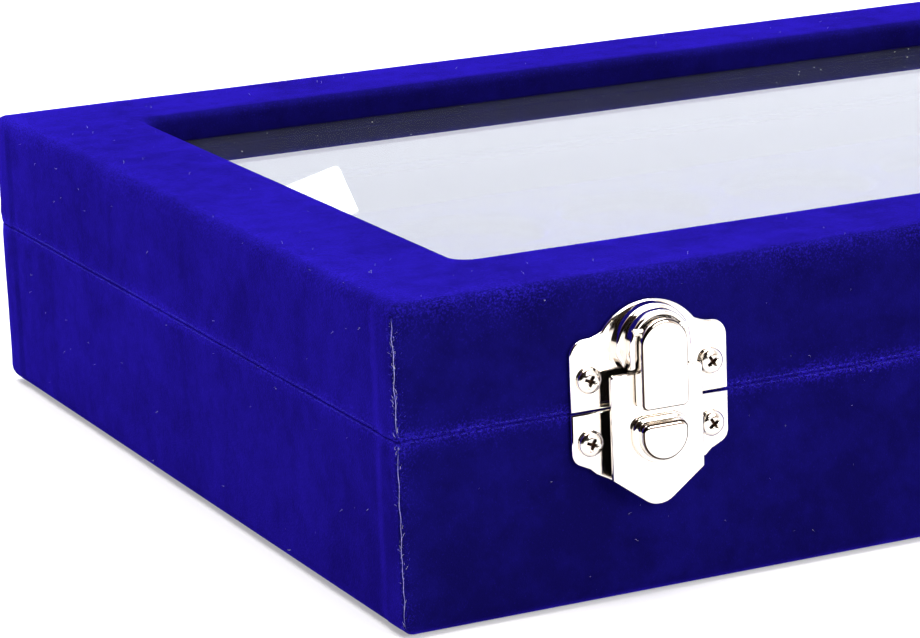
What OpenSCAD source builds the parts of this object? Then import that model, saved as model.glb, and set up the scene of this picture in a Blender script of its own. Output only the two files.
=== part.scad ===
// Velvet coin display case: a shallow base with a fitted coin insert, and a hinged lid
// with a framed glass window, closed by two small toggle latches.
// Origin: centre of the underside. +X to the right, +Y to the rear, +Z up. Millimetres.

/* [Case] */
// Outside width of the case
case_w = 200; // [180:1:240]
// Outside depth of the case, without latches and hinges
case_d = 157; // [150:1:180]
// Outside height of the closed case
case_h = 45; // [43:0.5:48]
// Height of the base, up to the parting line
base_h = 27; // [25:0.5:29]
// Thickness of the wooden walls
wall_t = 5; // [4.5:0.5:6]
// Thickness of the glued velvet covering
velvet_t = 0.8; // [0.6:0.1:1]
// Rounding of the upright corners
corner_r = 1.2; // [1:0.1:2]
// Half of the gap between lid and base at the parting line
part_gap = 0.1; // [0.1:0.05:0.2]

/* [Window] */
// Width of the velvet frame around the glass
frame_w = 18.9; // [16:0.1:20]
// Depth of the glass below the top of the lid
glass_drop = 4.5; // [4:0.1:5]
// Thickness of the glass
glass_t = 2; // [1.5:0.5:3]
// Rounding of the window's corners
window_r = 3.5; // [2:0.5:5]

/* [Coin insert] */
// Number of coin pockets from left to right
coin_cols = 5; // [3:1:5]
// Number of coin pockets from front to rear
coin_rows = 4; // [2:1:4]
// Diameter of a coin pocket
pocket_d = 26; // [22:0.5:27]
// Depth of a coin pocket
pocket_h = 3; // [2:0.5:3.5]
// Height of the top of the insert above the table
insert_top_z = 21; // [19:0.5:22]

/* [Latches] */
// Distance of a latch's centre from the end of the case
latch_inset = 36.6; // [30:0.1:45]
// Thickness of the pressed metal plates
plate_t = 0.8; // [0.6:0.1:0.9]
// Half of the width of a latch plate
plate_half_w = 11.75; // [11:0.05:12.5]
// Largest opening angle of the lid, in degrees
lid_open = 110; // [90:5:120]

/* [Hinges] */
// Distance of a hinge's centre from the middle of the case
hinge_x = 62; // [50:1:70]
// Width of a hinge
hinge_w = 20; // [16:1:24]
// Radius of the hinge knuckles
knuckle_r = 1.4; // [1.3:0.1:1.5]

/* [Hidden] */
$fn = 64;
eps = 0.01;

// Carcass faces, measured from the middle of the case
core_w = case_w - 2*velvet_t;
core_d = case_d - 2*velvet_t;
inner_w = core_w - 2*wall_t;
inner_d = core_d - 2*wall_t;

// Heights in the base
base_top = base_h - part_gap;
panel_t = 3;
panel_top = velvet_t + panel_t;
lining_t = 0.5;
insert_gap = 0.5;
board_t = 1.5;
insert_w = inner_w - 2*lining_t - 2*insert_gap;
insert_d = inner_d - 2*lining_t - 2*insert_gap;
insert_bottom = panel_top + lining_t;
pocket_floor = insert_top_z - pocket_h;
foam_top = pocket_floor - velvet_t;
pocket_pitch_x = (case_w - 2*frame_w - 4.7)/coin_cols;
pocket_pitch_y = (case_d - 2*frame_w - 3.2)/coin_rows;

// Heights in the lid
lid_bottom = base_h + part_gap;
glass_top = case_h - glass_drop;
glass_bottom = glass_top - glass_t;
lid_board_bottom = glass_top + velvet_t;
lid_board_top = case_h - velvet_t;
bead_h = 3;
bead_w = 5;
bead_gap = 0.2;
window_w = case_w - 2*frame_w;
window_d = case_d - 2*frame_w;
wrap_under = 8;

// Latch: heights are measured from the parting line, stand-offs from the front face
latch_x = case_w/2 - latch_inset;
screw_dx = 9.1;
screw_v = 4.3;
screw_len = 5;
shank_r = 0.8;
head_r = 1.8;
head_h = 0.9;
ear_top_v = 9.9;
dome_r = 8.7;
dome_top_v = 14;
strap_half_w = 7;
strap_top_v = 4.9;
strap_back = 2.2;
strap_front = 2.9;
point_r = 2.7;
point_v = -10.8;
ring_half_w = 5.6;
ring_front = 2.4;
hood_half_w = 4.5;
hood_wall = 0.7;
hood_front = 4.2;
hood_bottom_v = 5.6;
arch_v = 8.7;
lever_half_w = 3.5;
lever_front = 5.4;
lever_back = 3.2;
lever_bottom_v = 0.5;
lever_wall = 0.8;
lever_pin_v = 10.6;
lever_pin_h = 4;
lever_top_r = lever_front - lever_pin_h;
root_half_w = 2.4;
root_v = 10.2;
root_gap = 0.1;
pin_r = 0.5;
pin_clearance = 0.06;
boss_top_v = -1.9;
boss_half_w = 3.5;
boss_flange = 0.6;
boss_step = 3.8;
boss_front = 5;
boss_mid_v = -3.5;
rivet_r = 1;

// Hinges
axis_y = case_d/2 + knuckle_r + 0.3;
leaf_h = 9;
knuckle_gap = 0.2;
mid_w = 7;
hinge_pin_r = 0.7;
hinge_screw_dx = 6;
hinge_screw_v = 5.8;
hinge_screw_len = 4;
hinge_head_r = 1.5;
hinge_head_h = 0.6;

velvet = [0.13, 0.1, 0.72];
velvet_dark = [0.09, 0.07, 0.5];
fibreboard = [0.62, 0.5, 0.36];
nickel = [0.86, 0.86, 0.88];

// ---------- shared shapes ----------

// Rectangle with true round corners, centred
module round_rect(w, d, r) {
    square([w - 2*r, d], center = true);
    square([w, d - 2*r], center = true);
    for (sx = [-1, 1], sy = [-1, 1])
        translate([sx*(w/2 - r), sy*(d/2 - r)]) circle(r);
}

// Centred block that stands on height z0 and reaches z1
module block(w, d, z0, z1) {
    translate([-w/2, -d/2, z0]) cube([w, d, z1 - z0]);
}

// Round-cornered slab between two heights
module round_block(w, d, r, z0, z1) {
    translate([0, 0, z0]) linear_extrude(z1 - z0) round_rect(w, d, r);
}

// Turns an upright outline so that its plane is the front face of the case:
// x stays, y becomes the height above the parting line, z the stand-off
module on_front(x = 0) {
    translate([x, -case_d/2, base_h]) rotate([90, 0, 0]) children();
}

// The same at the rear face, with stand-offs pointing to the rear
module on_rear(x = 0) {
    translate([x, case_d/2, base_h]) rotate([90, 0, 180]) children();
}

// Straight layer of a front or rear piece between two stand-offs
module layer(h0, h1) {
    translate([0, 0, h0]) linear_extrude(h1 - h0) children();
}

// Places children at both latches
module at_latches() {
    for (s = [-1, 1]) on_front(s*latch_x) children();
}

// Places children at both hinges
module at_hinges() {
    for (s = [-1, 1]) on_rear(s*hinge_x) children();
}

// Straight-sided arch with a semicircular top
module arch(half_w, mid_v, bottom_v) {
    translate([0, mid_v]) intersection() {
        circle(half_w);
        translate([-half_w, 0]) square([2*half_w, half_w]);
    }
    translate([-half_w, bottom_v]) square([2*half_w, mid_v - bottom_v + eps]);
}

// Pilot or clearance holes for the screws of one latch plate, side = 1 lid, -1 base
module latch_holes(side, r) {
    for (s = [-1, 1])
        translate([s*screw_dx, side*screw_v, -screw_len - 1]) cylinder(r = r, h = screw_len + 8);
}

// Holes for the screws of one hinge leaf
module hinge_holes(side, r) {
    for (s = [-1, 1])
        translate([s*hinge_screw_dx, side*hinge_screw_v, -screw_len - 1])
            cylinder(r = r, h = screw_len + 8);
}

// Cross-recessed pan-head screw, axis along z, head seated on z = seat
module pan_screw(r_head, h_head, r_shank, len, seat) {
    recess_w = 0.45;
    difference() {
        union() {
            translate([0, 0, seat - len]) cylinder(r = r_shank, h = len);
            translate([0, 0, seat]) cylinder(r = r_head, h = h_head);
        }
        for (a = [45, 135])
            rotate([0, 0, a])
                translate([-0.6*r_head, -recess_w/2, seat + 0.4*h_head]) cube([1.2*r_head, recess_w, h_head]);
    }
}

// All screws of one half of both latches
module latch_screws(side) {
    at_latches()
        for (s = [-1, 1])
            translate([s*screw_dx, side*screw_v, 0]) pan_screw(head_r, head_h, shank_r, screw_len, plate_t);
}

// All screws of one half of both hinges
module hinge_screws(side) {
    at_hinges()
        for (s = [-1, 1])
            translate([s*hinge_screw_dx, side*hinge_screw_v, 0])
                pan_screw(hinge_head_r, hinge_head_h, shank_r, hinge_screw_len, plate_t);
}

// Front or rear wall, full width; side = -1 front, 1 rear
module long_wall(side, z0, z1) {
    translate([0, side*(core_d - wall_t)/2, 0]) block(core_w, wall_t, z0, z1);
}

// Left or right wall, between the long walls
module short_wall(side, z0, z1) {
    translate([side*(core_w - wall_t)/2, 0, 0]) block(wall_t, inner_d, z0, z1);
}

// ---------- base ----------

module base_bottom_sheet() {
    color(velvet_dark) block(core_w, core_d, 0, velvet_t);
}

module base_bottom_panel() {
    color(fibreboard) block(inner_w, inner_d, velvet_t, panel_top);
}

module base_front_wall() {
    color(fibreboard) difference() {
        long_wall(-1, velvet_t, base_top - velvet_t);
        at_latches() latch_holes(-1, shank_r);
    }
}

module base_rear_wall() {
    color(fibreboard) difference() {
        long_wall(1, velvet_t, base_top - velvet_t);
        at_hinges() hinge_holes(-1, shank_r);
    }
}

module base_left_wall() {
    color(fibreboard) short_wall(-1, velvet_t, base_top - velvet_t);
}

module base_right_wall() {
    color(fibreboard) short_wall(1, velvet_t, base_top - velvet_t);
}

module base_velvet_cover() {
    color(velvet) difference() {
        round_block(case_w, case_d, corner_r, 0, base_top);
        block(core_w, core_d, -eps, base_top - velvet_t);
        block(inner_w, inner_d, 0, case_h);
        at_latches() latch_holes(-1, shank_r);
        at_hinges() hinge_holes(-1, shank_r);
    }
}

module base_lining() {
    color(velvet_dark) difference() {
        block(inner_w, inner_d, panel_top, base_top - velvet_t);
        block(inner_w - 2*lining_t, inner_d - 2*lining_t, insert_bottom, case_h);
    }
}

// ---------- coin insert ----------

module insert_board() {
    color(fibreboard) block(insert_w, insert_d, insert_bottom, insert_bottom + board_t);
}

module insert_foam_core() {
    color("whitesmoke") block(insert_w, insert_d, insert_bottom + board_t, foam_top);
}

module insert_velvet_top() {
    color(velvet) difference() {
        block(insert_w, insert_d, foam_top, insert_top_z);
        for (i = [0:coin_cols - 1], j = [0:coin_rows - 1])
            translate([(i - (coin_cols - 1)/2)*pocket_pitch_x, (j - (coin_rows - 1)/2)*pocket_pitch_y,
                       pocket_floor])
                cylinder(d = pocket_d, h = pocket_h + 1);
    }
}

// ---------- latch, base half ----------

// Outline of the lower plate: two ears, and slopes down to a rounded point
module keeper_outline() {
    ear_r = 1.9;
    ear_bottom_v = -7.3;
    for (s = [-1, 1])
        translate([s*(plate_half_w - ear_r), ear_bottom_v + ear_r]) circle(ear_r);
    translate([-plate_half_w, ear_bottom_v + ear_r])
        square([2*plate_half_w, -ear_bottom_v - ear_r - 0.15]);
    translate([-plate_half_w + ear_r, ear_bottom_v])
        square([2*(plate_half_w - ear_r), 2*ear_r]);
    polygon([[-plate_half_w + ear_r, ear_bottom_v], [-strap_half_w, -9.4], [strap_half_w, -9.4],
             [plate_half_w - ear_r, ear_bottom_v]]);
    keeper_point();
}

// The lower end that the plate and the raised strap share
module keeper_point() {
    polygon([[-strap_half_w, -9.4], [-3.9, -11.2], [-point_r*0.8, point_v - point_r*0.6],
             [point_r*0.8, point_v - point_r*0.6], [3.9, -11.2], [strap_half_w, -9.4]]);
    translate([0, point_v]) circle(point_r);
}

module keeper_strap_outline() {
    keeper_point();
    translate([-strap_half_w, -9.4 - eps]) square([2*strap_half_w, 9.4 + strap_top_v]);
}

// Plate with the strap folded up in front of it
module latch_keeper() {
    color(nickel) difference() {
        union() {
            layer(0, plate_t) keeper_outline();
            layer(strap_back, strap_front) keeper_strap_outline();
            layer(0, strap_front) intersection() {
                keeper_point();
                translate([-strap_half_w, -14]) square([2*strap_half_w, 2.8]);
            }
        }
        latch_holes(-1, shank_r);
        translate([0, boss_mid_v, strap_back - eps]) cylinder(r = rivet_r, h = 2);
    }
}

module latch_keeper_left() {
    on_front(-latch_x) latch_keeper();
}

module latch_keeper_right() {
    on_front(latch_x) latch_keeper();
}

// Half-round button outline with a flat top
module boss_outline(grow) {
    half_w = boss_half_w + grow;
    translate([0, boss_mid_v]) intersection() {
        circle(half_w);
        translate([-half_w, -half_w]) square([2*half_w, half_w]);
    }
    translate([-half_w, boss_mid_v - eps]) square([2*half_w, boss_top_v + grow - boss_mid_v]);
}

// Stepped button riveted to the strap
module keeper_boss() {
    rivet_head_r = 1.7;
    color(nickel) union() {
        layer(strap_front, boss_step) boss_outline(boss_flange);
        layer(boss_step, boss_front) boss_outline(0);
        translate([0, boss_mid_v, strap_back - 0.7]) cylinder(r = rivet_r, h = 2);
        translate([0, boss_mid_v, strap_back - 0.7]) cylinder(r = rivet_head_r, h = 0.7);
    }
}

module keeper_boss_left() {
    on_front(-latch_x) keeper_boss();
}

module keeper_boss_right() {
    on_front(latch_x) keeper_boss();
}

module latch_base_screws() {
    color(nickel) latch_screws(-1);
}

// ---------- hinges ----------

// One leaf on its side of the parting line, without its knuckles
module leaf_plate(side) {
    v0 = knuckle_r + 0.3;
    translate([-hinge_w/2, side > 0 ? v0 : -leaf_h, 0]) cube([hinge_w, leaf_h - v0, plate_t]);
}

// Knuckle of width w centred on x, with the web that joins it to its leaf
module knuckle(x, w, side) {
    h_axis = axis_y - case_d/2;
    v0 = knuckle_r + 0.3;
    translate([x - w/2, 0, h_axis]) rotate([0, 90, 0]) cylinder(r = knuckle_r, h = w);
    translate([x - w/2, side > 0 ? 0 : -v0 - eps, 0.3]) cube([w, v0 + eps, plate_t - 0.3]);
}

module hinge_bore(r) {
    translate([-hinge_w/2 - 1, 0, axis_y - case_d/2]) rotate([0, 90, 0]) cylinder(r = r, h = hinge_w + 2);
}

module hinge_base_leaf() {
    end_w = (hinge_w - mid_w)/2 - knuckle_gap;
    color(nickel) difference() {
        union() {
            leaf_plate(-1);
            for (s = [-1, 1]) knuckle(s*(hinge_w - end_w)/2, end_w, -1);
        }
        hinge_holes(-1, shank_r);
        hinge_bore(hinge_pin_r);
    }
}

module hinge_lid_leaf() {
    color(nickel) difference() {
        union() {
            leaf_plate(1);
            knuckle(0, mid_w, 1);
        }
        hinge_holes(1, shank_r);
        hinge_bore(hinge_pin_r + pin_clearance);
    }
}

module hinge_pin() {
    color(nickel) translate([-hinge_w/2, 0, axis_y - case_d/2]) rotate([0, 90, 0])
        cylinder(r = hinge_pin_r, h = hinge_w);
}

module hinge_base_leaf_left() {
    on_rear(-hinge_x) hinge_base_leaf();
}

module hinge_base_leaf_right() {
    on_rear(hinge_x) hinge_base_leaf();
}

module hinge_lid_leaf_left() {
    on_rear(-hinge_x) hinge_lid_leaf();
}

module hinge_lid_leaf_right() {
    on_rear(hinge_x) hinge_lid_leaf();
}

module hinge_pin_left() {
    on_rear(-hinge_x) hinge_pin();
}

module hinge_pin_right() {
    on_rear(hinge_x) hinge_pin();
}

module hinge_base_screws() {
    color(nickel) hinge_screws(-1);
}

module hinge_lid_screws() {
    color(nickel) hinge_screws(1);
}

// ---------- lid ----------

module lid_front_wall() {
    color(fibreboard) difference() {
        long_wall(-1, lid_bottom + velvet_t, lid_board_bottom);
        at_latches() latch_holes(1, shank_r);
    }
}

module lid_rear_wall() {
    color(fibreboard) difference() {
        long_wall(1, lid_bottom + velvet_t, lid_board_bottom);
        at_hinges() hinge_holes(1, shank_r);
    }
}

module lid_left_wall() {
    color(fibreboard) short_wall(-1, lid_bottom + velvet_t, lid_board_bottom);
}

module lid_right_wall() {
    color(fibreboard) short_wall(1, lid_bottom + velvet_t, lid_board_bottom);
}

// Mitred board of the window frame; the outline is that of the front board of a frame
// that is w wide and d deep, turned to its side by the caller
module mitred_board(w, d) {
    inset = frame_w - 2*velvet_t;
    color(fibreboard) translate([0, 0, lid_board_bottom]) linear_extrude(lid_board_top - lid_board_bottom)
        polygon([[-w/2, -d/2], [w/2, -d/2], [w/2 - inset, -d/2 + inset], [-w/2 + inset, -d/2 + inset]]);
}

module lid_front_board() {
    mitred_board(core_w, core_d);
}

module lid_rear_board() {
    rotate([0, 0, 180]) mitred_board(core_w, core_d);
}

module lid_left_board() {
    rotate([0, 0, -90]) mitred_board(core_d, core_w);
}

module lid_right_board() {
    rotate([0, 0, 90]) mitred_board(core_d, core_w);
}

// Skin over the walls and the frame, turned in at the rim and under the window's edge
module lid_velvet_cover() {
    color(velvet) difference() {
        round_block(case_w, case_d, corner_r, lid_bottom, case_h);
        difference() {
            block(core_w, core_d, lid_bottom + velvet_t, lid_board_top);
            round_block(window_w + 2*wrap_under, window_d + 2*wrap_under, window_r, glass_top,
                        lid_board_bottom);
            block(window_w + 2*velvet_t, window_d + 2*velvet_t, glass_top, lid_board_top + eps);
        }
        block(inner_w, inner_d, 0, lid_bottom + velvet_t + eps);
        round_block(window_w, window_d, window_r, base_h, case_h + 1);
        at_latches() latch_holes(1, shank_r);
        at_hinges() hinge_holes(1, shank_r);
    }
}

module lid_lining() {
    color(velvet_dark) difference() {
        block(inner_w, inner_d, lid_bottom + velvet_t, glass_bottom - bead_h);
        block(inner_w - 2*lining_t, inner_d - 2*lining_t, 0, case_h);
    }
}

module glass_pane() {
    fit_gap = 0.5;
    color([0.85, 0.92, 0.9, 0.4])
        block(inner_w - 2*fit_gap, inner_d - 2*fit_gap, glass_bottom, glass_top);
}

// Four strips that hold the glass up against the frame
module glass_beads() {
    color(velvet_dark) {
        for (s = [-1, 1]) {
            translate([0, s*(inner_d - bead_w)/2, 0])
                block(inner_w, bead_w, glass_bottom - bead_h, glass_bottom);
            translate([s*(inner_w - bead_w)/2, 0, 0])
                block(bead_w, inner_d - 2*bead_w - bead_gap, glass_bottom - bead_h, glass_bottom);
        }
    }
}

// ---------- latch, lid half ----------

// Outline of the upper plate: a domed middle between two rounded ears
module lid_plate_outline() {
    ear_r = 2.3;
    bottom_v = 0.15;
    translate([0, dome_top_v - dome_r]) circle(dome_r);
    for (s = [-1, 1])
        translate([s*(plate_half_w - ear_r), ear_top_v - ear_r]) circle(ear_r);
    translate([-plate_half_w + ear_r, ear_top_v - ear_r]) square([2*(plate_half_w - ear_r), ear_r]);
    translate([-plate_half_w, bottom_v]) square([2*plate_half_w, ear_top_v - ear_r - bottom_v]);
}

// Cuts the dome off below the plate's lower edge
module above_parting() {
    intersection() {
        children();
        translate([-20, 0.15]) square([40, 20]);
    }
}

// Arch whose lower corners are cut back
module ring_outline() {
    cut_w = 0.9;
    cut_v = 2.4;
    difference() {
        arch(ring_half_w, arch_v - 0.6, hood_bottom_v);
        for (s = [-1, 1])
            polygon([[s*(ring_half_w - cut_w), hood_bottom_v - 1], [s*(ring_half_w + 1), hood_bottom_v - 1],
                     [s*(ring_half_w + 1), hood_bottom_v + cut_v], [s*ring_half_w, hood_bottom_v + cut_v],
                     [s*(ring_half_w - cut_w), hood_bottom_v]]);
    }
}

// Plate with the stepped hood that the lever's root sits in
module latch_lid_plate() {
    pocket_half_w = hood_half_w - hood_wall;
    color(nickel) difference() {
        union() {
            layer(0, plate_t) above_parting() lid_plate_outline();
            difference() {
                union() {
                    layer(plate_t - eps, ring_front) ring_outline();
                    layer(plate_t - eps, hood_front) arch(hood_half_w, arch_v, hood_bottom_v);
                }
                layer(plate_t, hood_front + 1) arch(pocket_half_w, arch_v, hood_bottom_v - 1);
                lever_root(root_half_w + root_gap, lever_top_r + root_gap);
            }
        }
        latch_holes(1, shank_r);
        lever_bore(pin_r);
    }
}

// Round root about the pin, and the room that it turns in
module lever_root(half_w, r) {
    translate([-half_w, lever_pin_v, lever_pin_h]) rotate([0, 90, 0]) cylinder(r = r, h = 2*half_w);
}

module lever_bore(r) {
    translate([-ring_half_w - 1, lever_pin_v, lever_pin_h]) rotate([0, 90, 0])
        cylinder(r = r, h = 2*ring_half_w + 2);
}

module lever_pin() {
    pin_half_len = 4;
    color(nickel) translate([-pin_half_len, lever_pin_v, lever_pin_h]) rotate([0, 90, 0])
        cylinder(r = pin_r, h = 2*pin_half_len);
}

// Hollow arched lever with a narrower root that turns about the pin
module latch_lever() {
    color(nickel) difference() {
        union() {
            intersection() {
                layer(lever_back, lever_front) arch(lever_half_w, arch_v, lever_bottom_v);
                translate([-5, lever_bottom_v, 0]) cube([10, root_v - lever_bottom_v, 8]);
            }
            intersection() {
                layer(0, lever_front) arch(lever_half_w, arch_v, lever_bottom_v);
                union() {
                    lever_root(root_half_w, lever_top_r);
                    translate([-root_half_w, root_v - 1, lever_back])
                        cube([2*root_half_w, 1 + lever_pin_v - root_v, lever_front - lever_back]);
                }
            }
        }
        layer(lever_back - eps, lever_front - lever_wall)
            translate([-lever_half_w + lever_wall, lever_bottom_v + lever_wall])
                square([2*(lever_half_w - lever_wall), arch_v - lever_bottom_v]);
        lever_bore(pin_r + pin_clearance);
    }
}

module latch_lid_plate_left() {
    on_front(-latch_x) latch_lid_plate();
}

module latch_lid_plate_right() {
    on_front(latch_x) latch_lid_plate();
}

module lever_pin_left() {
    on_front(-latch_x) lever_pin();
}

module lever_pin_right() {
    on_front(latch_x) lever_pin();
}

module latch_lever_left() {
    on_front(-latch_x) latch_lever();
}

module latch_lever_right() {
    on_front(latch_x) latch_lever();
}

module latch_lid_screws() {
    color(nickel) latch_screws(1);
}

base_bottom_sheet();
base_bottom_panel();
base_front_wall();
base_rear_wall();
base_left_wall();
base_right_wall();
base_velvet_cover();
base_lining();
insert_board();
insert_foam_core();
insert_velvet_top();
latch_keeper_left();
latch_keeper_right();
keeper_boss_left();
keeper_boss_right();
latch_base_screws();
hinge_base_leaf_left();
hinge_base_leaf_right();
hinge_pin_left();
hinge_pin_right();
hinge_base_screws();
lid_front_wall();
lid_rear_wall();
lid_left_wall();
lid_right_wall();
lid_front_board();
lid_rear_board();
lid_left_board();
lid_right_board();
lid_velvet_cover();
lid_lining();
glass_pane();
glass_beads();
latch_lid_plate_left();
latch_lid_plate_right();
lever_pin_left();
lever_pin_right();
latch_lid_screws();
hinge_lid_leaf_left();
hinge_lid_leaf_right();
hinge_lid_screws();
latch_lever_left();
latch_lever_right();
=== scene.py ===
# %% [markdown]
# A coin display case is a shallow wooden box wrapped in velvet. A glass pane in the lid shows the coins,
# and two small nickel latches keep the lid shut. The solid model of the case is loaded first and is never
# moved: every piece below is built around it, in metres, in the same frame.
# %% Load the frame
import math
from random import Random

import bmesh
import bpy
from mathutils import Matrix, Vector, noise
from mathutils.bvhtree import BVHTree


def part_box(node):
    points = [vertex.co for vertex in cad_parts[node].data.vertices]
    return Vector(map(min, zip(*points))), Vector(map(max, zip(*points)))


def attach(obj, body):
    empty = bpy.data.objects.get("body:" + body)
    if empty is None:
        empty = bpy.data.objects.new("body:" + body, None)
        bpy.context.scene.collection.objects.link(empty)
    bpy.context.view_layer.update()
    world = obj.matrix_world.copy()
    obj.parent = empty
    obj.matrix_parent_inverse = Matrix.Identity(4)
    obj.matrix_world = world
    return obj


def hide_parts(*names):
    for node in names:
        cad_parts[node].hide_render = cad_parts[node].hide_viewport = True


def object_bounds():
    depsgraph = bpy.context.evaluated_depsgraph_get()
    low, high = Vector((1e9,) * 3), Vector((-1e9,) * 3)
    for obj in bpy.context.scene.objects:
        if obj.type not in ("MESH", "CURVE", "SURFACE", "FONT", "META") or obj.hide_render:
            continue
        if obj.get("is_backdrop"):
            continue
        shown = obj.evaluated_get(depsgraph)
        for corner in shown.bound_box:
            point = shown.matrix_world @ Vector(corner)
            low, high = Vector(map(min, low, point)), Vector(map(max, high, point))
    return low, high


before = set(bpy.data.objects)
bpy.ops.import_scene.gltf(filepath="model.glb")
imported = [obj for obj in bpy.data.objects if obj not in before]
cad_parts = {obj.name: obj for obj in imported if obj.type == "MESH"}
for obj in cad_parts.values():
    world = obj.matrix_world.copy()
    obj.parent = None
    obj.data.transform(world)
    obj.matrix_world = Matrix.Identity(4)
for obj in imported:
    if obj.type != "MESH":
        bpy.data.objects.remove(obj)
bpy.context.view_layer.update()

MM = 0.001
case_low, lid_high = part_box("base_velvet_cover")[0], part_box("lid_velvet_cover")[1]
CASE_W = (lid_high.x - case_low.x) / MM
CASE_D = (lid_high.y - case_low.y) / MM
CASE_H = lid_high.z / MM
BASE_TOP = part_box("base_velvet_cover")[1].z / MM
LID_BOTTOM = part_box("lid_velvet_cover")[0].z / MM
PARTING = (BASE_TOP + LID_BOTTOM) / 2
GLASS_LOW, GLASS_TOP = (corner.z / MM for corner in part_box("glass_pane"))
WALL_IN = CASE_W / 2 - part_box("insert_board")[1].x / MM - 1
SKIN = 0.8
FRAME_W = 18.9
print(f"case {CASE_W:.1f} x {CASE_D:.1f} x {CASE_H:.1f} mm, parting at {PARTING:.1f} mm")

# %% [markdown]
# The camera stands low, in front of the left end and turned towards it, with a long lens, so that the near
# corner and one latch fill the view. Its place is given from the case's front left bottom corner. A long
# lens far away keeps the edges nearly parallel, as a product photographer would choose.
# %% Camera
CAMERA_FROM_CORNER = Vector((-186.2, -420.7, 159.0))
CAMERA_TURN, CAMERA_DIP, CAMERA_ROLL = 24.97, 14.15, -2.35


def add_camera():
    camera = bpy.data.objects.new("camera", bpy.data.cameras.new("camera"))
    bpy.context.collection.objects.link(camera)
    camera.data.sensor_width = 36
    camera.data.lens = 145.8
    camera.data.clip_start = 0.01
    turn = Matrix.Rotation(math.radians(-CAMERA_TURN), 4, "Z")
    dip = Matrix.Rotation(math.radians(90 - CAMERA_DIP), 4, "X")
    roll = Matrix.Rotation(math.radians(CAMERA_ROLL), 4, "Z")
    place = Vector((case_low.x, case_low.y, 0)) + CAMERA_FROM_CORNER * MM
    camera.matrix_world = Matrix.Translation(place) @ turn @ dip @ roll
    bpy.context.scene.camera = camera
    return camera


camera = add_camera()
print("camera at", [round(c, 4) for c in camera.matrix_world.translation])

# %% [markdown]
# Colours are kept as sRGB hex values, the way a maker reads them off a swatch, and one function turns them
# into the linear light values that a shader works with. One more function adds a shader node with its
# settings and its links, so that each finish reads as a short recipe.
# %% Colour and shader helpers


def linear(hex_colour):
    parts = [int(hex_colour[i:i + 2], 16) / 255 for i in (1, 3, 5)]
    return [c / 12.92 if c <= 0.04045 else ((c + 0.055) / 1.055) ** 2.4 for c in parts] + [1.0]


def add_node(tree, kind, inputs=None, links=None, **settings):
    made = tree.nodes.new(kind)
    for name, value in settings.items():
        setattr(made, name, value)
    for name, value in (inputs or {}).items():
        made.inputs[name].default_value = value
    for name, source in (links or {}).items():
        tree.links.new(source, made.inputs[name])
    return made


def new_material(name):
    material = bpy.data.materials.new(name)
    material.use_nodes = True
    tree = material.node_tree
    tree.nodes.clear()
    shader = add_node(tree, "ShaderNodeBsdfPrincipled")
    add_node(tree, "ShaderNodeOutputMaterial", links={"Surface": shader.outputs[0]})
    place = add_node(tree, "ShaderNodeTexCoord").outputs["Object"]
    return material, tree, shader, place


def per_metre(size_mm):
    """Noise scale that gives features about size_mm across on coordinates in metres."""
    return 1 / (size_mm * MM)


def ramp(tree, source, stops):
    made = add_node(tree, "ShaderNodeValToRGB", links={"Fac": source})
    while len(made.color_ramp.elements) < len(stops):
        made.color_ramp.elements.new(0.5)
    for element, (position, colour) in zip(made.color_ramp.elements, stops):
        element.position = position
        element.color = linear(colour)
    return made.outputs["Color"]


# %% [markdown]
# The case stands on a plain white sweep in a studio whose rear and right walls are lit. The front left of
# the room is dark brown, which gives the polished metal something dark and warm to mirror, and makes the
# lid much brighter than the sides. The glass is seen at a low angle and mirrors the bright rear wall. One
# softbox hangs overhead and a smaller one stands in front. Behind the case stands a white fabric screen,
# whose round corner the glass mirrors near the left of the window.
# %% Floor, sky and lamps
SKY = 1.75
FLOOR_GLOW = 0.32
SCREEN_CORNER, SCREEN_ALONG, SCREEN_UP = (0.749, 1.921, 0.467), (-0.3, 0, 0.075), (0.0145, 0, 0.036)


def add_sky():
    world = bpy.data.worlds.new("studio_sky")
    bpy.context.scene.world = world
    world.use_nodes = True
    tree = world.node_tree
    direction = add_node(tree, "ShaderNodeTexCoord").outputs["Generated"]
    towards = add_node(tree, "ShaderNodeVectorMath", {1: (0.65, 0.75, 0.0)}, {0: direction}, operation="DOT_PRODUCT")
    level = add_node(tree, "ShaderNodeMapRange", {"From Min": -1.0, "From Max": 1.0},
                     {"Value": towards.outputs["Value"]})
    room = ramp(tree, level.outputs["Result"], [(0.1, "#0c0806"), (0.27, "#33241c"), (0.33, "#9c8678"),
                                                (0.42, "#a8978c"), (0.5, "#e2dede"), (0.6, "#f0f1fd")])
    background = tree.nodes["Background"]
    background.inputs["Strength"].default_value = SKY
    tree.links.new(room, background.inputs["Color"])


def add_softbox(name, place, aim, size, power):
    lamp = bpy.data.lights.new(name, "AREA")
    lamp.shape = "RECTANGLE"
    lamp.size, lamp.size_y = size
    lamp.energy = power
    box = bpy.data.objects.new(name, lamp)
    bpy.context.collection.objects.link(box)
    facing = (Vector(aim) - Vector(place)).to_track_quat("-Z", "Y")
    box.matrix_world = Matrix.Translation(place) @ facing.to_matrix().to_4x4()
    box.visible_camera = False
    return box


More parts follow.
